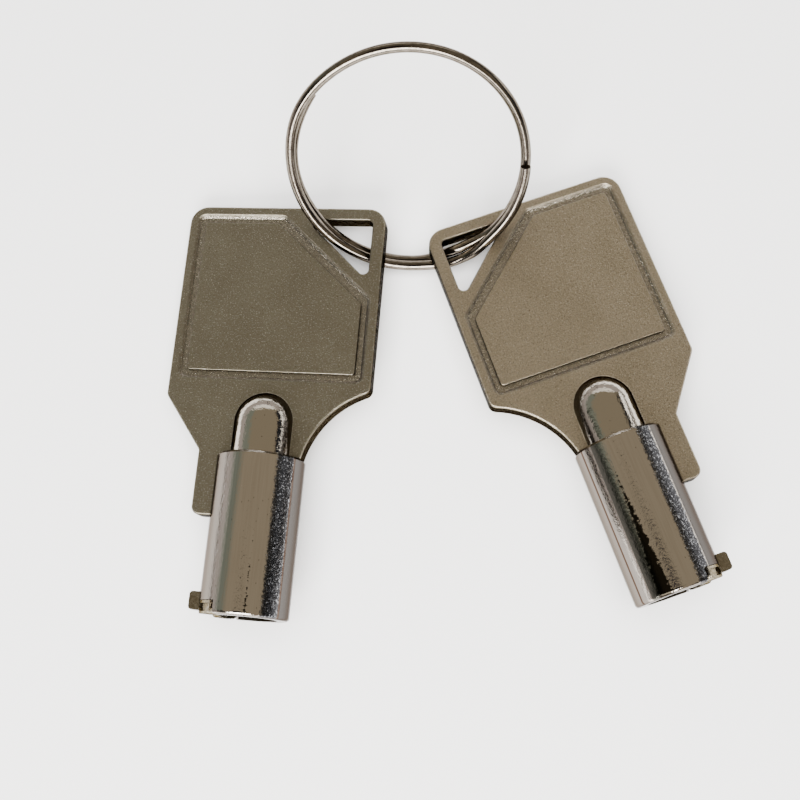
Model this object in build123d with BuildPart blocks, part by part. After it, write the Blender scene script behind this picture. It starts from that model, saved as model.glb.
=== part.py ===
from build123d import *
from math import cos, exp, radians, sin
import os

# Two tubular lock keys hung on one split ring, lying on a table. Millimetres, +Z up.
# The origin is under the middle of the whole, on the table.
os.makedirs("parts", exist_ok=True)

# Barrel: the steel tube that pushes over the pins of the lock
TUBE_OD = 9.5
BORE_D = 6.9
BORE_DEPTH = 8.0
SEAT_D = 6.5
TUBE_LENGTH = 17.0
MOUTH_ROUND = 0.4
TOP_BREAK = 0.25

# Head: a die-cast bow with its stop tab and the spigot that fills the tube, in one piece
PLATE_THICKNESS = 2.0
BOW_HALF_WIDTH = 11.35
BOW_TOP = 45.85
BOW_CORNER = 2.0
EDGE_ROUND = 0.22
SHOULDER_TAB_SIDE = 23.5
SHOULDER_HOLE_SIDE = 24.6
TAB_OUTER = -6.9
TAB_INNER = -4.4
TAB_TOP = 17.5
TAB_BOTTOM = 10.45
TAB_CORNER = 0.9
ARM_END = 4.48
ARM_ARC_RADIUS = 10.5
BOSS_RADIUS = 3.44
SPIGOT_RADIUS = 3.24
DOME_CENTRE = 20.8
BOSS_FILLET = 0.12
SEAT_GAP = 0.02

# Sunken border on both faces of the bow
GROOVE_DEPTH = 0.34
GROOVE_DRAFT = 52.0
GROOVE_WIDTH = 1.02
ISLAND_ROUND = 0.12
RIM_CORNER = 1.0
ISLAND_CORNER = 0.4
RIM_SIDE = 10.5
RIM_TOP = 44.95
RIM_BOTTOM = 25.45
RIM_SLOPE = 0.9
RIM_DIAGONAL = 44.8
INNER_DIAGONAL = 43.15

# Corner hole for the ring: a right-angled triangle with a sloping long side
HOLE_SIDE = 9.9
HOLE_TOP = 44.45
HOLE_SLOPE = 0.93
HOLE_DIAGONAL = 46.52
HOLE_CORNER = 0.6

# Lug staked into a notch in the rim of the tube
LUG_REACH = 5.9
LUG_LOW = 0.5
LUG_HIGH = 2.4
LUG_THICKNESS = 1.6
EAR_CORNER = 0.35
EAR_INSET = 0.12
FOOT_HALF_WIDTH = 1.25
FOOT_HEIGHT = 1.35
FOOT_CORNER = 0.6
FOOT_ANGLE = 42.0
FOOT_RIM = 0.26
DIMPLE_DEPTH = 0.35
NOTCH_HALF_ANGLE = 64.0
NOTCH_HEIGHT = 1.42
STAKE_GAP = 0.03

# Split ring: one wire wound one turn and a bit more than a half
WIRE_D = 1.1
RING_RADIUS = 12.51
STRAND_PITCH = 1.14
WIRE_START = 141.0
WIRE_LAP_END = 356.0
TWIST_AT_BOTTOM = (68.7, 293.4, 11.7)
TWIST_AT_END = (19.6, 150.0, 20.0)
WIRE_STEPS = 140

# Where each piece rests: place of the tube's mouth, then turn, lean and sideways roll in degrees
LEFT_PLACE = (-20.41, -28.26, 6.34)
LEFT_TURN = (-4.47, 5.42, -5.73)
RIGHT_PLACE = (24.57, -25.65, 6.40)
RIGHT_TURN = (19.88, 5.64, 5.13)
RING_PLACE = (-2.96, 19.85, 10.01)
RING_LEAN = (46.3, -2.1)


def lying_key(place, turn, over=False):
    """Plane of a key's plate: X across the bow towards the hole, Y along the tube to the bow."""
    yaw, lean, roll = turn
    where = Location(place, (0, 0, yaw)) * Location((0, 0, 0), (-lean, 0, 0))
    where = where * Location((0, 0, 0), (0, roll, 0))
    if over:
        where = where * Location((0, 0, 0), (0, 180, 0))
    return Plane(where)


def across(key, height):
    """Plane across the tube at a height above its mouth, facing the bow."""
    return Plane(origin=key.from_local_coords((0, height, 0)), x_dir=key.x_dir, z_dir=key.y_dir)


def facing(key, angle):
    """Plane through the tube's axis that faces outwards, at an angle round from the tab's side."""
    return Plane(key.location * Location((0, 0, 0), (0, angle - 90, 0)))


def corner(sketch, x, y):
    """The vertex of a sketch nearest to a point."""
    return sketch.vertices().sort_by_distance((x, y, 0))[0]


def sloping_triangle(side, top, slope, intercept):
    """Corners of the region under the top line, inside the side line, above y = intercept - slope x."""
    return [(side, top), ((intercept - top) / slope, top), (side, intercept - slope * side)]


def border_outline(inset, diagonal):
    """Corners of the bow's border: its outer edge, or its inner edge with an inset."""
    side = RIM_SIDE - inset
    top = RIM_TOP - inset
    bottom = RIM_BOTTOM + inset
    meets_top = (diagonal - top) / RIM_SLOPE
    meets_side = diagonal - RIM_SLOPE * side
    return [(-side, bottom), (side, bottom), (side, meets_side), (meets_top, top), (-side, top)]


def is_boss_seam(key, edge):
    """Whether an edge is where the boss comes out of a face of the plate."""
    x, y, z = key.to_local_coords(edge @ 0.5)
    on_face = abs(abs(z) - PLATE_THICKNESS / 2) < 0.01
    return on_face and abs(x) < BOSS_RADIUS and TUBE_LENGTH < y < DOME_CENTRE + BOSS_RADIUS


def key_head(key, label):
    """Cast bow with its corner hole, sunken borders, stop tab and spigot."""
    through = Axis(key.origin, key.z_dir)
    arm_x = BOW_HALF_WIDTH
    with BuildPart() as head:
        with BuildSketch(key) as outline:
            with BuildLine():
                Polyline(
                    (ARM_END, TUBE_LENGTH),
                    (TAB_INNER, TUBE_LENGTH),
                    (TAB_INNER, TAB_BOTTOM),
                    (TAB_OUTER, TAB_BOTTOM),
                    (TAB_OUTER, TAB_TOP),
                    (-BOW_HALF_WIDTH, SHOULDER_TAB_SIDE),
                    (-BOW_HALF_WIDTH, BOW_TOP),
                    (BOW_HALF_WIDTH, BOW_TOP),
                    (arm_x, SHOULDER_HOLE_SIDE),
                )
                RadiusArc((arm_x, SHOULDER_HOLE_SIDE), (ARM_END, TUBE_LENGTH), -ARM_ARC_RADIUS)
            make_face()
            fillet([corner(outline, -arm_x, BOW_TOP), corner(outline, arm_x, BOW_TOP)], BOW_CORNER)
            fillet(corner(outline, -arm_x, SHOULDER_TAB_SIDE), TAB_CORNER)
            fillet(corner(outline, arm_x, SHOULDER_HOLE_SIDE), TAB_CORNER)
            fillet(corner(outline, TAB_OUTER, TAB_BOTTOM), TAB_CORNER)
            fillet(corner(outline, TAB_OUTER, TAB_TOP), TAB_CORNER / 2)
        extrude(amount=PLATE_THICKNESS / 2, both=True)
        with BuildSketch(key) as hole:
            Polygon(*sloping_triangle(HOLE_SIDE, HOLE_TOP, HOLE_SLOPE, HOLE_DIAGONAL), align=None)
            fillet(hole.vertices(), HOLE_CORNER)
        extrude(amount=PLATE_THICKNESS, both=True, mode=Mode.SUBTRACT)
        for side in (1, -1):
            face = key.offset(side * PLATE_THICKNESS / 2)
            with BuildSketch(face) as border:
                Polygon(*border_outline(0, RIM_DIAGONAL), align=None)
                fillet(border.vertices(), RIM_CORNER)
            extrude(amount=-side * GROOVE_DEPTH, taper=GROOVE_DRAFT, mode=Mode.SUBTRACT)
            with BuildSketch(face) as island:
                Polygon(*border_outline(GROOVE_WIDTH, INNER_DIAGONAL), align=None)
                fillet(island.vertices(), ISLAND_CORNER)
            extrude(amount=-side * GROOVE_DEPTH)
        flats = head.faces().filter_by(through).group_by(through)
        for flat in (flats[0], flats[-1]):
            rim = flat.filter_by(lambda face: len(face.inner_wires()) == 2)[0]
            middle = flat.filter_by(lambda face: not face.inner_wires())[0]
            ring_hole = min(rim.inner_wires(), key=lambda wire: wire.length)
            fillet(rim.outer_wire().edges() + ring_hole.edges(), EDGE_ROUND)
            fillet(middle.edges(), ISLAND_ROUND)
        with BuildSketch(key):
            with BuildLine():
                Polyline(
                    (0, DOME_CENTRE + BOSS_RADIUS),
                    (0, BORE_DEPTH),
                    (BOSS_RADIUS, BORE_DEPTH),
                    (BOSS_RADIUS, DOME_CENTRE),
                )
                RadiusArc((BOSS_RADIUS, DOME_CENTRE), (0, DOME_CENTRE + BOSS_RADIUS), -BOSS_RADIUS)
            make_face()
        revolve(axis=Axis(key.origin, key.y_dir))
        seam = head.edges().filter_by(lambda edge: is_boss_seam(key, edge))
        fillet(seam, BOSS_FILLET)
        with BuildSketch(across(key, BORE_DEPTH)):
            Circle(TUBE_OD / 2 + SEAT_GAP)
            Circle(SPIGOT_RADIUS, mode=Mode.SUBTRACT)
        extrude(amount=TUBE_LENGTH - BORE_DEPTH, mode=Mode.SUBTRACT)
    head.part.label = label
    return head.part


def key_barrel(key, label):
    """Tube with a rounded mouth, a narrower seat for the spigot and a notch for the staked lug."""
    along = Axis(key.origin, key.y_dir)
    with BuildPart() as barrel:
        with BuildSketch(across(key, 0)):
            Circle(TUBE_OD / 2)
            Circle(SEAT_D / 2, mode=Mode.SUBTRACT)
        extrude(amount=TUBE_LENGTH)
        with BuildSketch(across(key, 0)):
            Circle(BORE_D / 2)
        extrude(amount=BORE_DEPTH, mode=Mode.SUBTRACT)
        rims = barrel.edges().filter_by(GeomType.CIRCLE).group_by(along)
        fillet(rims[0].sort_by(SortBy.RADIUS)[-1], MOUTH_ROUND)
        rims = barrel.edges().filter_by(GeomType.CIRCLE).group_by(along)
        chamfer(rims[-1].sort_by(SortBy.RADIUS)[-1], TOP_BREAK)
        reach = TUBE_OD
        edge = (-reach * cos(radians(NOTCH_HALF_ANGLE)), reach * sin(radians(NOTCH_HALF_ANGLE)))
        with BuildSketch(across(key, 0)):
            Polygon(
                (0, 0), edge, (-reach, edge[1]), (-reach, -edge[1]), (edge[0], -edge[1]), align=None
            )
        extrude(amount=NOTCH_HEIGHT, mode=Mode.SUBTRACT)
        with BuildSketch(key):
            with Locations((-TUBE_OD / 2, 0)):
                Rectangle(TUBE_OD / 2, 2 * (LUG_HIGH + STAKE_GAP))
        extrude(amount=LUG_THICKNESS / 2 + STAKE_GAP, both=True, mode=Mode.SUBTRACT)
    barrel.part.label = label
    return barrel.part


def tongue(sketch, inset):
    """Face of a staked foot, or of its dimple with an inset: an upright strip, round at the foot."""
    half_width = FOOT_HALF_WIDTH - inset
    with Locations((0, FOOT_HEIGHT / 2)):
        Rectangle(2 * half_width, FOOT_HEIGHT - 2 * inset)
    fillet(sketch.vertices().sort_by(Axis.Y)[:2], FOOT_CORNER - inset / 2)


def key_lug(key, label):
    """Stop lug: an ear outside the tube on a band in the rim, its two feet staked and dimpled."""
    inner = BORE_D / 2 + STAKE_GAP
    outer = TUBE_OD / 2 - STAKE_GAP
    feet = [facing(key, FOOT_ANGLE), facing(key, -FOOT_ANGLE)]
    band_end = (-TUBE_OD * cos(radians(FOOT_ANGLE)), TUBE_OD * sin(radians(FOOT_ANGLE)))
    with BuildPart() as lug:
        for foot in feet:
            with BuildSketch(foot.offset(inner - FOOT_HALF_WIDTH)) as sole:
                tongue(sole, 0)
            extrude(amount=TUBE_OD / 2)
        with BuildSketch(across(key, 0)):
            Circle(outer)
            Circle(inner, mode=Mode.SUBTRACT)
        extrude(amount=FOOT_HEIGHT, mode=Mode.INTERSECT)
        with BuildSketch(across(key, LUG_LOW)):
            Circle(outer)
            Circle(inner, mode=Mode.SUBTRACT)
            Polygon((0, 0), band_end, (band_end[0], -band_end[1]), align=None, mode=Mode.INTERSECT)
        extrude(amount=FOOT_HEIGHT - LUG_LOW)
        with BuildSketch(key) as ear:
            with Locations((-(LUG_REACH + inner + EAR_INSET) / 2, (LUG_LOW + LUG_HIGH) / 2)):
                Rectangle(LUG_REACH - inner - EAR_INSET, LUG_HIGH - LUG_LOW)
            fillet(ear.vertices().sort_by(Axis.X)[:2], EAR_CORNER)
        extrude(amount=LUG_THICKNESS / 2, both=True)
        for foot in feet:
            with BuildSketch(foot.offset(outer - DIMPLE_DEPTH)) as dimple:
                tongue(dimple, FOOT_RIM)
            extrude(amount=TUBE_OD / 2, mode=Mode.SUBTRACT)
    lug.part.label = label
    return lug.part


def wire_point(angle):
    """Middle of the wire at an angle along its winding: side by side strands that cross once."""
    lap = WIRE_START + 360 - WIRE_LAP_END
    step = min(max((angle - WIRE_LAP_END) / lap, 0), 1)
    layer = 2 * step**3 * (step * (6 * step - 15) + 10) - 1
    twist = 0
    for amount, middle, spread in (TWIST_AT_BOTTOM, TWIST_AT_END):
        twist += amount * exp(-(((angle % 360 - middle) / spread) ** 2))
    offset = layer * STRAND_PITCH / 2
    radius = RING_RADIUS + offset * sin(radians(twist))
    turn = radians(angle)
    return (radius * cos(turn), radius * sin(turn), offset * cos(radians(twist)))


left = lying_key(LEFT_PLACE, LEFT_TURN)
right = lying_key(RIGHT_PLACE, RIGHT_TURN, over=True)
for side, key in (("left", left), ("right", right)):
    for piece, make in (("head", key_head), ("barrel", key_barrel), ("lug", key_lug)):
        name = f"{side}_key_{piece}"
        export_step(make(key, name), f"parts/{name}.step")

ring = Plane(Location(RING_PLACE, (0, RING_LEAN[1], 0)) * Location((0, 0, 0), (RING_LEAN[0], 0, 0)))
wire_end = WIRE_LAP_END + 360
with BuildPart() as split_ring:
    with BuildLine() as winding:
        angles = [WIRE_START + (wire_end - WIRE_START) * i / WIRE_STEPS for i in range(WIRE_STEPS + 1)]
        points = [ring.from_local_coords(wire_point(angle)) for angle in angles]
        heading = ring.from_local_coords(wire_point(WIRE_START + 0.01)) - points[0]
        for start, end in zip(points, points[1:]):
            heading = TangentArc(start, end, tangent=heading) % 1
    with BuildSketch(Plane(origin=winding.line @ 0, z_dir=winding.line % 0)):
        Circle(WIRE_D / 2)
    sweep()
split_ring.part.label = "split_ring"
export_step(split_ring.part, "parts/split_ring.step")
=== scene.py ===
import math

import bpy
from mathutils import Euler, Matrix, Vector

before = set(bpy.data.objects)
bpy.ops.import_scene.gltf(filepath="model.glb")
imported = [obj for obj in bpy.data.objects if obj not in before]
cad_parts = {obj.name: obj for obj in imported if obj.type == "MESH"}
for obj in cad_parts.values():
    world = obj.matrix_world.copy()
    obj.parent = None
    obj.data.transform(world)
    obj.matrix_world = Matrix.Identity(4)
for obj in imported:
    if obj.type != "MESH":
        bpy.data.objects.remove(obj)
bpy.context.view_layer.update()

MM = 0.001

# Where each key lies, as in the CAD: the mouth of its tube, then turn, lean and roll in degrees,
# then whether it is turned over
KEY_PLACES = {
    "left": ((-20.41, -28.26, 6.34), (-4.47, 5.42, -5.73), False),
    "right": ((24.57, -25.65, 6.40), (19.88, 5.64, 5.13), True),
}
# Heights in mm from the middle of a key's plate
PLATE_HALF_THICKNESS = 1.0
GROOVE_FLOOR = 0.66
# Tube, in mm
BORE_RADIUS = 3.45
TUBE_RADIUS = 4.75

# Tint of what the metal mirrors at a grazing angle: tube and wire, then castings and pressings
DULL_EDGE = (0.42, 0.395, 0.38)
CAST_EDGE = (0.12, 0.11, 0.10)
# Colours of the plating, painted light and shade among them
# The right key's plating is painted lighter than the left's: painted light from the right on one plating
PLATE_TONES_LIT_AND_SHADED = {"left": ((0.31, 0.285, 0.22), (0.28, 0.255, 0.195)),
               "right": ((0.53, 0.46, 0.35), (0.48, 0.415, 0.31))}
TUBE_TONES = ((0.54, 0.495, 0.44), (0.50, 0.455, 0.40))
STEEL_TONES = ((0.22, 0.19, 0.135), (0.34, 0.31, 0.25))
WIRE_TONES = ((0.205, 0.18, 0.15), (0.13, 0.112, 0.09))
BOSS = (0.46, 0.42, 0.36)
GROOVE = (0.52, 0.485, 0.42)
# Painted shade on the walls of the border groove, a dark outline
GROOVE_WALL_SHADE = (0.10, 0.08, 0.05)
# Painted shade on the plates' side walls
SIDE_WALL_SHADE = (0.085, 0.075, 0.058)
GRAIN_SHADE = (0.19, 0.17, 0.13)
# Painted highlight: bright sparkles on the plate's grain
SPARK_HIGHLIGHT = (0.85, 0.80, 0.72)
PLATE_SPECK = (0.14, 0.12, 0.08)
TUBE_SPECK = (0.15, 0.13, 0.10)
# Painted shade on the tubes' flanks, the boss's foot and the tube's mouth
FLANK_SHADE = (0.10, 0.088, 0.079)
DARK_FLANK_SHADE = (0.082, 0.077, 0.073)
# Painted shade, a dark greenish band round the tube
GREEN_SHADE = (0.07, 0.08, 0.065)
# Pitted band: real pitting, its near-black colour a painted reflection of a dark wall to the right
PITTED_DARK_REFLECTION = (0.035, 0.04, 0.05)
# Painted highlight: glints in the pitted band
GLINT_HIGHLIGHT = (0.62, 0.63, 0.66)
DRAWN_LINE = (0.04, 0.018, 0.010)
# Dark streak; on the right tube a painted reflection of the dark camera overhead
DARK_STREAK_TONE = (0.022, 0.019, 0.014)
# Painted shade inside the tube's bore
BORE_SHADE = (0.05, 0.042, 0.03)

# Marks on each tube, placed in mm round its skin from its top, to the right positive:
# where the painted shade on the flanks starts, to the left and to the right
SHADED_FLANKS = {"left": (-2.2, 5.2), "right": (-4.3, 2.85)}
# the two edges of the pitted band, painted dark as a reflection of a dark wall to the right
PITTED_DARK_BAND = {"left": (3.0, 5.2), "right": (1.1, 2.85)}
# the thin brown line left by drawing
DRAW_LINE = {"left": 5.25, "right": -5.6}
# the two edges of the painted greenish shade, and how deep it is
SHADE = {"left": (-1.5, -0.9, 0.25), "right": (-4.1, -3.3, 0.82)}
# the dark streak (on the right tube a painted reflection of the dark camera overhead), the height of its
# tip above the mouth, and its half width per mm
DARK_STREAK = {"left": (1.4, 4.6, 0.03), "right": (-2.5, 13.0, 0.066)}

# What the room's surfaces send back to the metal
CEILING = (0.42, 0.362, 0.27)
LEFT_WALL = (0.33, 0.37, 0.32)
DARK_CORNER = (0.07, 0.075, 0.06)
RIGHT_WALL = (0.02, 0.022, 0.03)
RIGHT_SKIRT = (0.30, 0.29, 0.28)
WINDOW = (1.9, 1.85, 1.75)
HORIZON = (0.70, 0.64, 0.62)
TABLE_EDGE = (0.62, 0.58, 0.56)
# The dark camera overhead, as the sideways parts of its direction
LENS_MIDDLE = (-0.13, -0.16)
LENS_REACH = (0.27, 0.27)

# Half the floor's width, in metres
FLOOR_HALF = 2.5

# Camera: its place in mm, its turn in degrees and its lens in mm
CAMERA_PLACE = (3.70, -25.19, 127.40)
CAMERA_TURN = (9.27, 3.67, 0.0)
CAMERA_LENS = 51.97


def key_matrix(side):
    """From a key's own axes (X across the bow, Y along the tube) to the row frame."""
    place, (yaw, lean, roll), over = KEY_PLACES[side]
    turn = Matrix.Rotation(math.radians(yaw), 4, "Z") @ Matrix.Rotation(math.radians(-lean), 4, "X")
    turn = turn @ Matrix.Rotation(math.radians(roll), 4, "Y")
    if over:
        turn = turn @ Matrix.Rotation(math.pi, 4, "Y")
    return Matrix.Translation(Vector(place) * MM) @ turn


class Shader:
    """A material's node tree, with short calls to add and join nodes."""

    def __init__(self, name, slot_color):
        self.material = bpy.data.materials.new(name)
        self.material.use_nodes = True
        self.material.diffuse_color = (*slot_color, 1)
        self.tree = self.material.node_tree
        self.tree.nodes.clear()
        self.surface = self.add("ShaderNodeBsdfPrincipled")
        output = self.add("ShaderNodeOutputMaterial")
        self.tree.links.new(self.surface.outputs[0], output.inputs["Surface"])

    @classmethod
    def around(cls, tree):
        """The same calls on a tree that already has its output, such as the world's."""
        made = cls.__new__(cls)
        made.tree = tree
        return made

    def add(self, kind, **settings):
        made = self.tree.nodes.new(kind)
        for name, value in settings.items():
            setattr(made, name, value)
        return made

    def put(self, socket, value):
        """Joins a socket to another, or sets its value."""
        if isinstance(value, bpy.types.NodeSocket):
            self.tree.links.new(value, socket)
        else:
            socket.default_value = value

    def object_mm(self, matrix):
        """Coordinates in millimetres along the axes of a matrix in the row frame."""
        where = self.add("ShaderNodeTexCoord").outputs["Object"]
        mapping = self.add("ShaderNodeMapping", vector_type="TEXTURE")
        self.put(mapping.inputs["Vector"], where)
        self.put(mapping.inputs["Location"], matrix.to_translation())
        self.put(mapping.inputs["Rotation"], matrix.to_euler("XYZ"))
        self.put(mapping.inputs["Scale"], (MM, MM, MM))
        return mapping.outputs[0]

    def facing(self, matrix):
        """How squarely the surface faces along the Z axis of a matrix, either way: 1 down to 0."""
        made = self.add("ShaderNodeVectorMath", operation="DOT_PRODUCT")
        self.put(made.inputs[0], self.add("ShaderNodeTexCoord").outputs["Normal"])
        self.put(made.inputs[1], matrix.to_3x3().col[2])
        return self.math("ABSOLUTE", made.outputs["Value"])

    def stretch(self, vector, scale):
        mapping = self.add("ShaderNodeMapping", vector_type="POINT")
        self.put(mapping.inputs["Vector"], vector)
        self.put(mapping.inputs["Scale"], scale)
        return mapping.outputs[0]

    def noise(self, vector, scale, detail=3.0, roughness=0.5):
        made = self.add("ShaderNodeTexNoise")
        self.put(made.inputs["Vector"], vector)
        self.put(made.inputs["Scale"], scale)
        self.put(made.inputs["Detail"], detail)
        self.put(made.inputs["Roughness"], roughness)
        return made.outputs["Fac"]

    def cells(self, vector, scale):
        """Distance to the nearest cell point of a Voronoi pattern."""
        made = self.add("ShaderNodeTexVoronoi")
        self.put(made.inputs["Vector"], vector)
        self.put(made.inputs["Scale"], scale)
        return made.outputs["Distance"]

    def ramp(self, value, low, high, out_low=0.0, out_high=1.0):
        """Smooth step of a value from low to high."""
        made = self.add("ShaderNodeMapRange", interpolation_type="SMOOTHSTEP")
        self.put(made.inputs["Value"], value)
        self.put(made.inputs["From Min"], low)
        self.put(made.inputs["From Max"], high)
        self.put(made.inputs["To Min"], out_low)
        self.put(made.inputs["To Max"], out_high)
        return made.outputs[0]

    def math(self, operation, a, b=0.0):
        made = self.add("ShaderNodeMath", operation=operation)
        self.put(made.inputs[0], a)
        self.put(made.inputs[1], b)
        return made.outputs[0]

    def times(self, a, b):
        return self.math("MULTIPLY", a, b)

    def mix(self, amount, a, b):
        """Mix of two colours."""
        made = self.add("ShaderNodeMix", data_type="RGBA")
        self.put(made.inputs["Factor"], amount)
        for socket, color in ((made.inputs[6], a), (made.inputs[7], b)):
            self.put(socket, color if isinstance(color, bpy.types.NodeSocket) else (*color, 1))
        return made.outputs[2]

    def tint(self, tone, color, mask, strength):
        """Lays a colour over a tone where a mask is 1, as strongly as given."""
        return self.mix(self.times(mask, strength), tone, color)

    def axes(self, vector):
        made = self.add("ShaderNodeSeparateXYZ")
        self.put(made.inputs[0], vector)
        return made.outputs

    def bump(self, height, depth_mm, normal=None):
        """Bump of a height of 0 to 1 that stands for a depth in millimetres."""
        made = self.add("ShaderNodeBump")
        self.put(made.inputs["Height"], height)
        self.put(made.inputs["Distance"], depth_mm * MM)
        if normal is not None:
            self.put(made.inputs["Normal"], normal)
        return made.outputs[0]

    def finish(self, color, roughness, normal, edge_tint):
        self.put(self.surface.inputs["Metallic"], 1.0)
        self.put(self.surface.inputs["Specular Tint"], (*edge_tint, 1))
        self.put(self.surface.inputs["Base Color"], color)
        self.put(self.surface.inputs["Roughness"], roughness)
        self.put(self.surface.inputs["Normal"], normal)
        return self.material


def cast_nickel(side):
    """Nickel over a die casting: grainy plate with painted sparkle highlights, orange-peel border floor
    with painted shade on the groove walls, smooth boss for the tube with painted shade at its foot, and
    painted shade on the side walls.
    """
    make = Shader(f"cast_nickel_{side}", (0.55, 0.52, 0.46))
    where = make.object_mm(key_matrix(side))
    height = make.math("ABSOLUTE", make.axes(where)["Z"])
    sunk = make.ramp(height, PLATE_HALF_THICKNESS - 0.06, GROOVE_FLOOR + 0.04)
    boss = make.ramp(height, PLATE_HALF_THICKNESS + 0.05, PLATE_HALF_THICKNESS + 0.35)
    plate = make.math("SUBTRACT", 1.0, boss)
    grain = make.noise(where, 5.0, detail=4.0, roughness=0.8)
    peel = make.noise(where, 2.3, detail=2.0, roughness=0.6)
    cloud = make.noise(where, 0.22, detail=2.0)
    specks = make.ramp(make.cells(where, 1.3), 0.13, 0.06)
    painted_sparkle = make.ramp(make.noise(where, 7.0, detail=1.0), 0.61, 0.71)
    # Painted shade: the walls of the border groove are darkened
    wall_shade = make.times(make.ramp(height, PLATE_HALF_THICKNESS - 0.04, 0.90), plate)
    wall_shade = make.times(wall_shade, make.ramp(height, GROOVE_FLOOR - 0.03, GROOVE_FLOOR + 0.02))
    tone = make.mix(make.ramp(cloud, 0.3, 0.7), *PLATE_TONES_LIT_AND_SHADED[side])
    tone = make.mix(boss, tone, BOSS)
    # Painted shade at the foot of the boss, where its flank would mirror the floor
    foot_shade = make.times(make.ramp(height, 2.7, 2.0), boss)
    tone = make.tint(tone, FLANK_SHADE, foot_shade, 0.75)
    tone = make.tint(tone, GROOVE, sunk, 0.8)
    tone = make.tint(tone, GROOVE_WALL_SHADE, wall_shade, 0.4)
    shade = make.times(make.ramp(grain, 0.56, 0.34), plate)
    tone = make.tint(tone, GRAIN_SHADE, shade, 0.6)
    # Painted highlight: bright sparkles on the plate
    sparkle_highlight = make.times(painted_sparkle, plate)
    tone = make.tint(tone, SPARK_HIGHLIGHT, sparkle_highlight, 0.6)
    tone = make.tint(tone, PLATE_SPECK, specks, 0.5)
    # Painted shade: surfaces that turn away from the plate's face, its side walls, are darkened
    side_shade = make.times(make.ramp(make.facing(key_matrix(side)), 0.75, 0.35), plate)
    tone = make.tint(tone, SIDE_WALL_SHADE, side_shade, 0.93)
    rough = make.math("ADD", make.times(plate, 0.24), 0.06)
    rough = make.math("ADD", rough, make.times(grain, 0.06))
    rough = make.math("SUBTRACT", rough, make.times(sunk, 0.10))
    grain_height = make.times(grain, make.math("SUBTRACT", plate, make.times(side_shade, 0.8)))
    peel_height = make.times(peel, make.math("ADD", make.times(sunk, 0.6), 0.4))
    normal = make.bump(grain_height, 0.055)
    normal = make.bump(peel_height, 0.08, normal)
    return make.finish(tone, rough, normal, CAST_EDGE)


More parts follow.
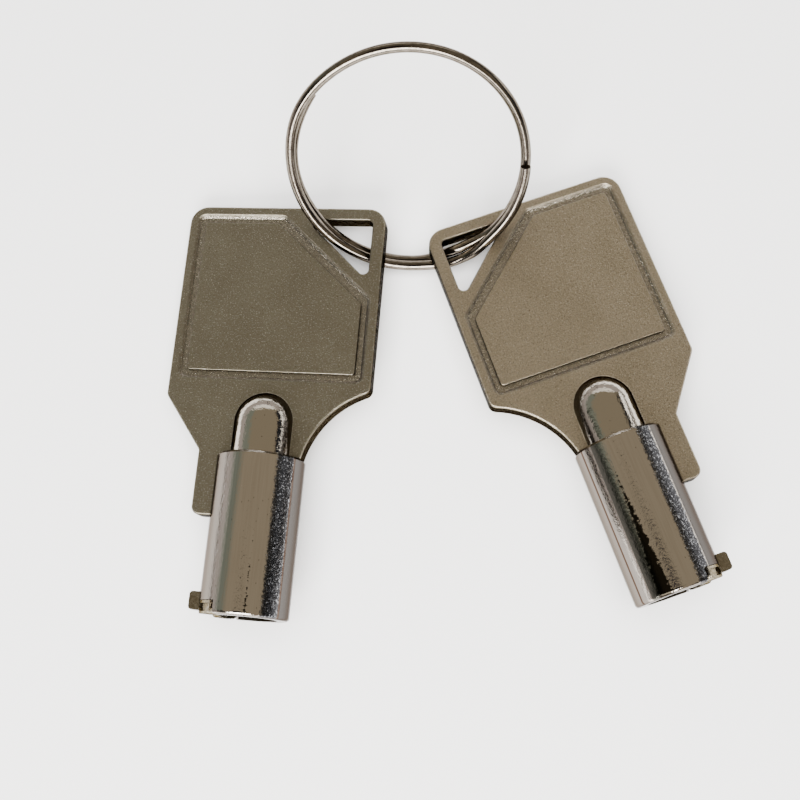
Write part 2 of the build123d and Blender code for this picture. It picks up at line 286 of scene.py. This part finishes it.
def nickel_tube(side):
    """Nickel over a drawn tube: bright on top, painted shade on its flanks, a pitted band painted dark as
    a reflection with painted glints, and a dark streak.
    """
    make = Shader(f"nickel_tube_{side}", (0.55, 0.52, 0.48))
    where = make.object_mm(key_matrix(side))
    axes = make.axes(where)
    turned_over = KEY_PLACES[side][2]
    across = make.times(axes["X"], -1.0 if turned_over else 1.0)
    height = make.math("ABSOLUTE", axes["Z"])
    from_axis = make.math("SQRT", make.math("ADD", make.times(across, across), make.times(height, height)))
    around = make.times(make.math("ARCTAN2", across, height), TUBE_RADIUS)
    ripples = make.noise(make.stretch(where, (3.4, 1.9, 3.4)), 1.0, detail=3.0, roughness=0.7)
    lines = make.noise(make.stretch(where, (4.0, 0.14, 4.0)), 1.0, detail=3.0, roughness=0.6)
    cloud = make.noise(where, 0.5, detail=3.0, roughness=0.6)
    peel = make.noise(where, 3.2, detail=3.0, roughness=0.7)
    specks = make.ramp(make.cells(make.stretch(where, (1.0, 0.6, 1.0)), 1.3), 0.10, 0.04)
    tone = make.mix(make.ramp(lines, 0.35, 0.7), *TUBE_TONES)
    tone = make.tint(tone, TUBE_SPECK, specks, 0.5)
    ragged = make.times(make.math("SUBTRACT", peel, 0.5), 1.3)
    left_flank, right_flank = SHADED_FLANKS[side]
    # Painted shade on both flanks of the tube
    flank_shade = make.ramp(around, left_flank, left_flank - 0.6)
    tone = make.tint(tone, FLANK_SHADE, flank_shade, 0.80)
    tone = make.mix(make.ramp(around, right_flank, right_flank + 0.2), tone, DARK_FLANK_SHADE)
    # Painted shade: a dark greenish band round the tube
    shade_start, shade_end, shade_depth = SHADE[side]
    shade = make.times(make.ramp(around, shade_start - 0.1, shade_start + 0.1),
                       make.ramp(around, shade_end + 0.5, shade_end - 0.2))
    tone = make.tint(tone, GREEN_SHADE, shade, shade_depth)
    beside = make.math("ADD", around, make.times(ragged, 0.6))
    band_start, band_end = PITTED_DARK_BAND[side]
    pitted_dark_band = make.times(make.ramp(beside, band_start - 0.1, band_start + 0.2),
                      make.ramp(beside, band_end + 0.1, band_end - 0.1))
    # Painted highlight: bright glints scattered in the pitted band
    painted_glints = make.ramp(make.noise(where, 4.0, detail=3.0, roughness=0.8), 0.53, 0.62)
    # Painted reflection: the pitted band is darkened
    tone = make.tint(tone, PITTED_DARK_REFLECTION, pitted_dark_band, 0.92)
    tone = make.tint(tone, GLINT_HIGHLIGHT, make.times(painted_glints, pitted_dark_band), 0.6)
    from_line = make.math("ABSOLUTE", make.math("SUBTRACT", around, DRAW_LINE[side]))
    line = make.ramp(from_line, 0.18, 0.10)
    tone = make.tint(tone, DRAWN_LINE, line, 0.85)
    # Dark streak, on the right tube a painted reflection of the dark camera overhead, widening towards the
    # mouth
    streak_side, streak_top, streak_spread = DARK_STREAK[side]
    spread = make.times(make.math("SUBTRACT", streak_top, axes["Y"]), streak_spread)
    from_streak = make.math("ABSOLUTE", make.math("SUBTRACT", around, streak_side))
    inside = make.math("ADD", make.math("SUBTRACT", spread, from_streak), ragged)
    tone = make.mix(make.ramp(inside, -0.02, 0.12), tone, DARK_STREAK_TONE)
    # Painted shade on the rim at the tube's mouth
    mouth = make.ramp(axes["Y"], 0.12, 0.02)
    tone = make.tint(tone, FLANK_SHADE, mouth, 0.8)
    # Painted shade: the inside of the bore is darkened
    bore_shade = make.ramp(from_axis, BORE_RADIUS + 0.12, BORE_RADIUS + 0.04)
    tone = make.mix(bore_shade, tone, BORE_SHADE)
    rough = make.ramp(cloud, 0.3, 0.75, 0.03, 0.08)
    rough = make.math("ADD", rough, make.times(bore_shade, 0.35))
    rough = make.math("ADD", rough, make.times(pitted_dark_band, 0.06))
    pitting = make.times(make.noise(where, 5.5, detail=2.0, roughness=0.7), pitted_dark_band)
    normal = make.bump(ripples, 0.022)
    normal = make.bump(cloud, 0.010, normal)
    normal = make.bump(peel, 0.012, normal)
    normal = make.bump(pitting, 0.03, normal)
    return make.finish(tone, rough, normal, DULL_EDGE)


def staked_steel(side):
    """Duller nickel over pressed steel, with a browner cast and small dents."""
    make = Shader(f"staked_steel_{side}", (0.50, 0.46, 0.38))
    where = make.object_mm(key_matrix(side))
    grain = make.noise(where, 4.5, detail=4.0, roughness=0.7)
    dents = make.noise(where, 1.8, detail=2.0)
    tone = make.mix(make.ramp(grain, 0.35, 0.7), *STEEL_TONES)
    rough = make.ramp(dents, 0.3, 0.7, 0.18, 0.34)
    normal = make.bump(grain, 0.02)
    normal = make.bump(dents, 0.05, normal)
    return make.finish(tone, rough, normal, CAST_EDGE)


def spring_wire():
    """Polished spring wire with faint scuffs."""
    make = Shader("spring_wire", (0.42, 0.39, 0.35))
    where = make.object_mm(Matrix.Identity(4))
    scuffs = make.noise(where, 1.6, detail=5.0, roughness=0.7)
    cloud = make.noise(where, 0.35, detail=3.0)
    tone = make.mix(make.ramp(scuffs, 0.4, 0.7), *WIRE_TONES)
    rough = make.ramp(cloud, 0.3, 0.7, 0.08, 0.18)
    normal = make.bump(scuffs, 0.010)
    return make.finish(tone, rough, normal, DULL_EDGE)


def dress(node, material):
    """Gives a CAD node its material."""
    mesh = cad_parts[node].data
    mesh.materials.clear()
    mesh.materials.append(material)


for side in KEY_PLACES:
    dress(f"{side}_key_head", cast_nickel(side))
    dress(f"{side}_key_barrel", nickel_tube(side))
    dress(f"{side}_key_lug", staked_steel(side))
dress("split_ring", spring_wire())


def pale_floor():
    """Plain pale floor under the object."""
    half = FLOOR_HALF
    mesh = bpy.data.meshes.new("floor")
    corners = [(-half, -half, 0), (half, -half, 0), (half, half, 0), (-half, half, 0)]
    mesh.from_pydata(corners, [], [(0, 1, 2, 3)])
    floor = bpy.data.objects.new("floor", mesh)
    bpy.context.scene.collection.objects.link(floor)
    material = bpy.data.materials.new("floor_white")
    material.use_nodes = True
    surface = material.node_tree.nodes["Principled BSDF"]
    surface.inputs["Base Color"].default_value = (0.93, 0.93, 0.93, 1)
    surface.inputs["Roughness"].default_value = 0.9
    surface.inputs["Specular IOR Level"].default_value = 0.1
    mesh.materials.append(material)


def softbox(name, place, aim, width, depth, power, color):
    """Area light at a place in millimetres, aimed at a point; width and depth in millimetres too."""
    light = bpy.data.lights.new(name, "AREA")
    light.shape = "RECTANGLE"
    light.size, light.size_y = width * MM, depth * MM
    light.energy = power
    light.color = color
    lamp = bpy.data.objects.new(name, light)
    lamp.location = Vector(place) * MM
    lamp.rotation_euler = (Vector(aim) - Vector(place)).to_track_quat("-Z", "Y").to_euler()
    bpy.context.scene.collection.objects.link(lamp)
    return lamp


def surroundings():
    """A plain room for bright metal to mirror: dim ceiling, pale horizon, a darker wall to the right."""
    world = bpy.data.worlds.new("room")
    bpy.context.scene.world = world
    world.use_nodes = True
    room = Shader.around(world.node_tree)
    direction = room.axes(room.add("ShaderNodeTexCoord").outputs["Generated"])
    across, along, height = direction["X"], direction["Y"], direction["Z"]
    on_left = room.ramp(across, -0.35, -0.6)
    on_right = room.ramp(across, 0.55, 0.75)
    left_wall = room.times(room.ramp(height, 0.76, 0.62), on_left)
    right_wall = room.times(room.ramp(height, 0.58, 0.50), on_right)
    from_lens = [room.math("DIVIDE", room.math("SUBTRACT", axis, middle), reach)
                 for axis, middle, reach in zip((across, along), LENS_MIDDLE, LENS_REACH)]
    from_lens = [room.times(part, part) for part in from_lens]
    lens = room.times(room.ramp(room.math("ADD", *from_lens), 1.15, 0.85),
                      room.ramp(height, 0.3, 0.5))
    skirt = room.times(room.ramp(height, 0.30, 0.22), on_right)
    window = room.times(room.ramp(along, 0.70, 0.78), room.ramp(height, 0.60, 0.52))
    horizon = room.math("SUBTRACT", 0.36, room.times(on_right, 0.30))
    horizon = room.ramp(room.math("SUBTRACT", height, horizon), 0.03, -0.03)
    corner = room.ramp(along, 0.02, -0.14)
    color = room.mix(left_wall, CEILING, room.mix(corner, LEFT_WALL, DARK_CORNER))
    color = room.mix(right_wall, color, RIGHT_WALL)
    color = room.mix(lens, color, RIGHT_WALL)
    color = room.mix(skirt, color, RIGHT_SKIRT)
    color = room.mix(window, color, WINDOW)
    color = room.mix(horizon, color, HORIZON)
    color = room.mix(room.ramp(height, 0.045, 0.030), color, TABLE_EDGE)
    background = world.node_tree.nodes["Background"]
    room.put(background.inputs["Color"], color)


pale_floor()
surroundings()
softbox("front_light", (-60, -300, 230), (0, 0, 0), 260, 200, 3.6, (1.0, 0.98, 0.96))
softbox("right_light", (340, 150, 105), (0, 0, 5), 220, 60, 0.12, (1.0, 0.98, 0.95))
# Lights the floor; the metal doesn't mirror it
overhead = softbox("overhead_light", (0, 0, 500), (0, 0, 0), 500, 500, 8.0, (1.0, 1.0, 1.0))
overhead.visible_glossy = False

camera_data = bpy.data.cameras.new("camera")
camera_data.lens = CAMERA_LENS
camera_data.clip_start = 0.01
camera = bpy.data.objects.new("camera", camera_data)
camera.location = Vector(CAMERA_PLACE) * MM
camera.rotation_euler = Euler([math.radians(a) for a in CAMERA_TURN], "XYZ")
bpy.context.scene.collection.objects.link(camera)
bpy.context.scene.camera = camera
